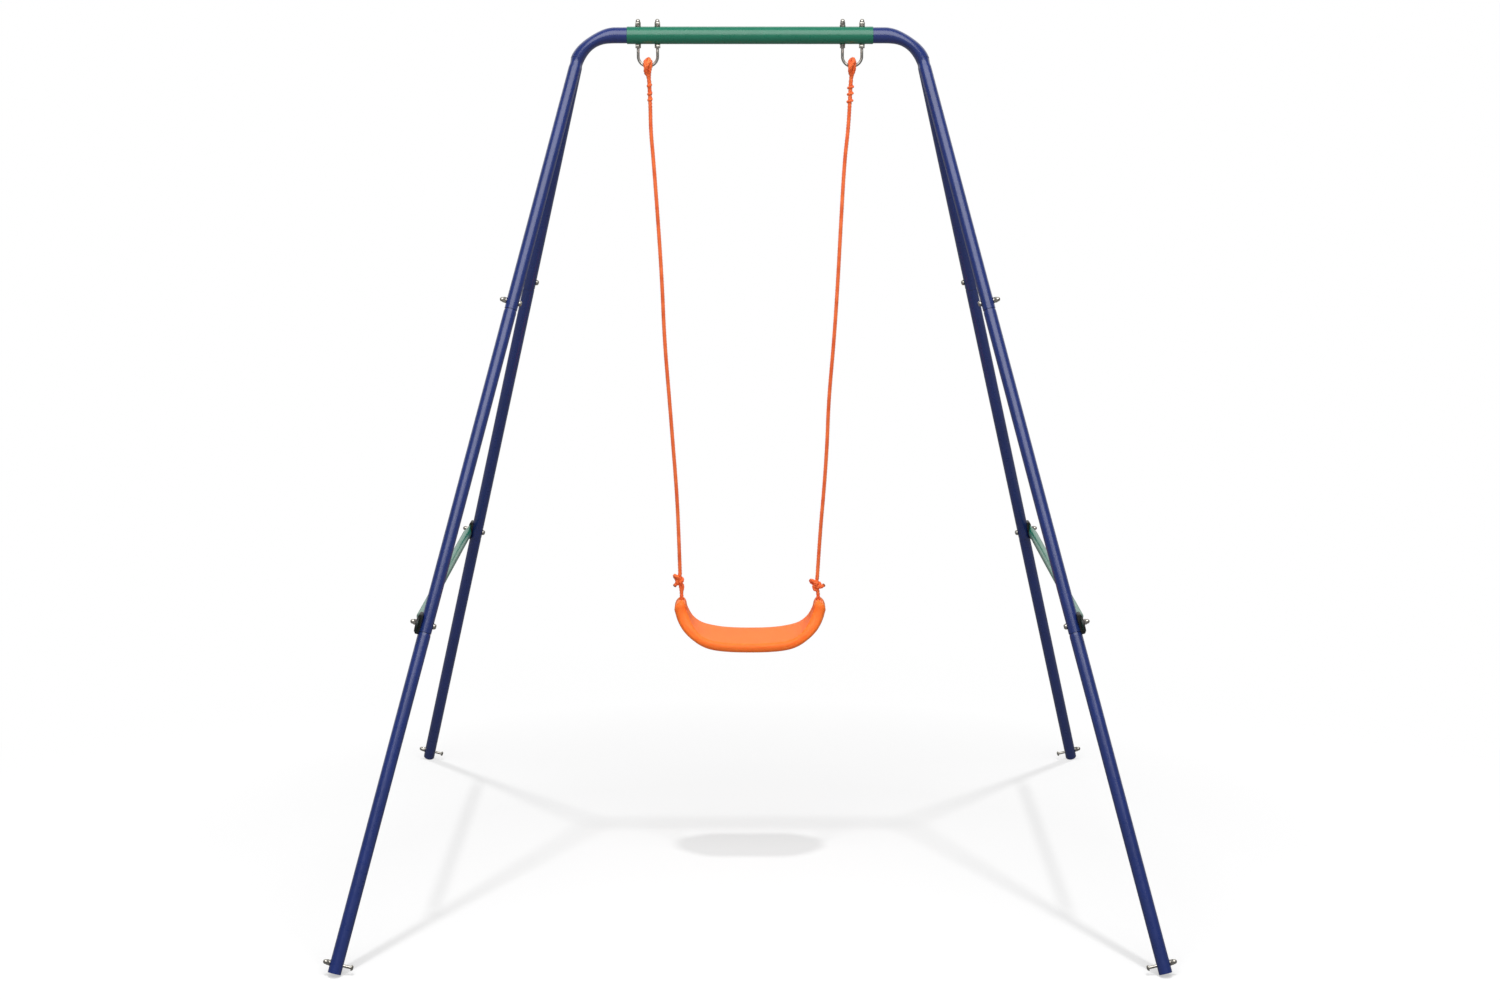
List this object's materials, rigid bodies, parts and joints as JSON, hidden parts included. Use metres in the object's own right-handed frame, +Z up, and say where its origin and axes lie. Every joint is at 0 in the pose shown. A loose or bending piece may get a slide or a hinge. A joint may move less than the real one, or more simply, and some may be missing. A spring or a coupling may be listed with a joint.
{
  "type": "swing set",
  "caption": "Freestanding children's swing: a bolted tube A-frame with splayed legs and side braces, carrying a moulded seat on ropes from U-bolts under its crossbar.",
  "frame": {"origin": "on the ground, midway between the four feet", "axes": "+X along the crossbar, +Y from the front feet to the rear feet, +Z up"},
  "size_m": [1.61, 1.3892, 1.7707],
  "materials": {
    "blue_powder_coat": "dark blue gloss powder coat on steel tube",
    "green_powder_coat": "green gloss powder coat on steel tube",
    "zinc_plated_steel": "bright zinc-plated steel",
    "black_plastic": "black moulded plastic",
    "orange_rope": "orange laid polyethylene rope",
    "orange_plastic": "orange moulded polyethylene, satin"
  },
  "bodies": {
    "frame": {"brace_bolts": "zinc_plated_steel", "brace_cap_nuts": "zinc_plated_steel", "brace_left": "green_powder_coat", "brace_right": "green_powder_coat", "brace_saddle_front_left": "black_plastic", "brace_saddle_front_right": "black_plastic", "brace_saddle_rear_left": "black_plastic", "brace_saddle_rear_right": "black_plastic", "brace_washers": "zinc_plated_steel", "corner_tube_left": "blue_powder_coat", "corner_tube_right": "blue_powder_coat", "corner_weld_left": "blue_powder_coat", "corner_weld_right": "blue_powder_coat", "crossbar": "green_powder_coat", "foot_bolts": "zinc_plated_steel", "foot_cap_nuts": "zinc_plated_steel", "foot_washers": "zinc_plated_steel", "joint_bolts": "zinc_plated_steel", "joint_cap_nuts": "zinc_plated_steel", "joint_washers": "zinc_plated_steel", "lower_leg_front_left": "blue_powder_coat", "lower_leg_front_right": "blue_powder_coat", "lower_leg_rear_left": "blue_powder_coat", "lower_leg_rear_right": "blue_powder_coat", "middle_leg_front_left": "blue_powder_coat", "middle_leg_front_right": "blue_powder_coat", "middle_leg_rear_left": "blue_powder_coat", "middle_leg_rear_right": "blue_powder_coat", "u_bolt_cap_nuts": "zinc_plated_steel", "u_bolt_left": "zinc_plated_steel", "u_bolt_lower_nuts": "zinc_plated_steel", "u_bolt_right": "zinc_plated_steel", "u_bolt_washers": "zinc_plated_steel", "upper_leg_front_left": "blue_powder_coat", "upper_leg_front_right": "blue_powder_coat", "upper_leg_rear_left": "blue_powder_coat", "upper_leg_rear_right": "blue_powder_coat"},
    "ropes": {"rope_eye_left": "orange_rope", "rope_eye_right": "orange_rope", "rope_knot_left": "orange_rope", "rope_knot_right": "orange_rope", "rope_left": "orange_rope", "rope_right": "orange_rope"},
    "seat": {"seat": "orange_plastic", "rope_stop_left": "orange_rope", "rope_stop_right": "orange_rope"}
  },
  "joints": [
    {"name": "rope_swing", "type": "hinge", "parent": "frame", "child": "ropes", "pos_m": [0, 0, 1.6765], "axis": [1, 0, 0], "range_deg": [-60, 60]},
    {"name": "seat_tilt", "type": "hinge", "parent": "ropes", "child": "seat", "pos_m": [0, 0, 0.564], "axis": [1, 0, 0], "range_deg": [-20, 20]}
  ]
}
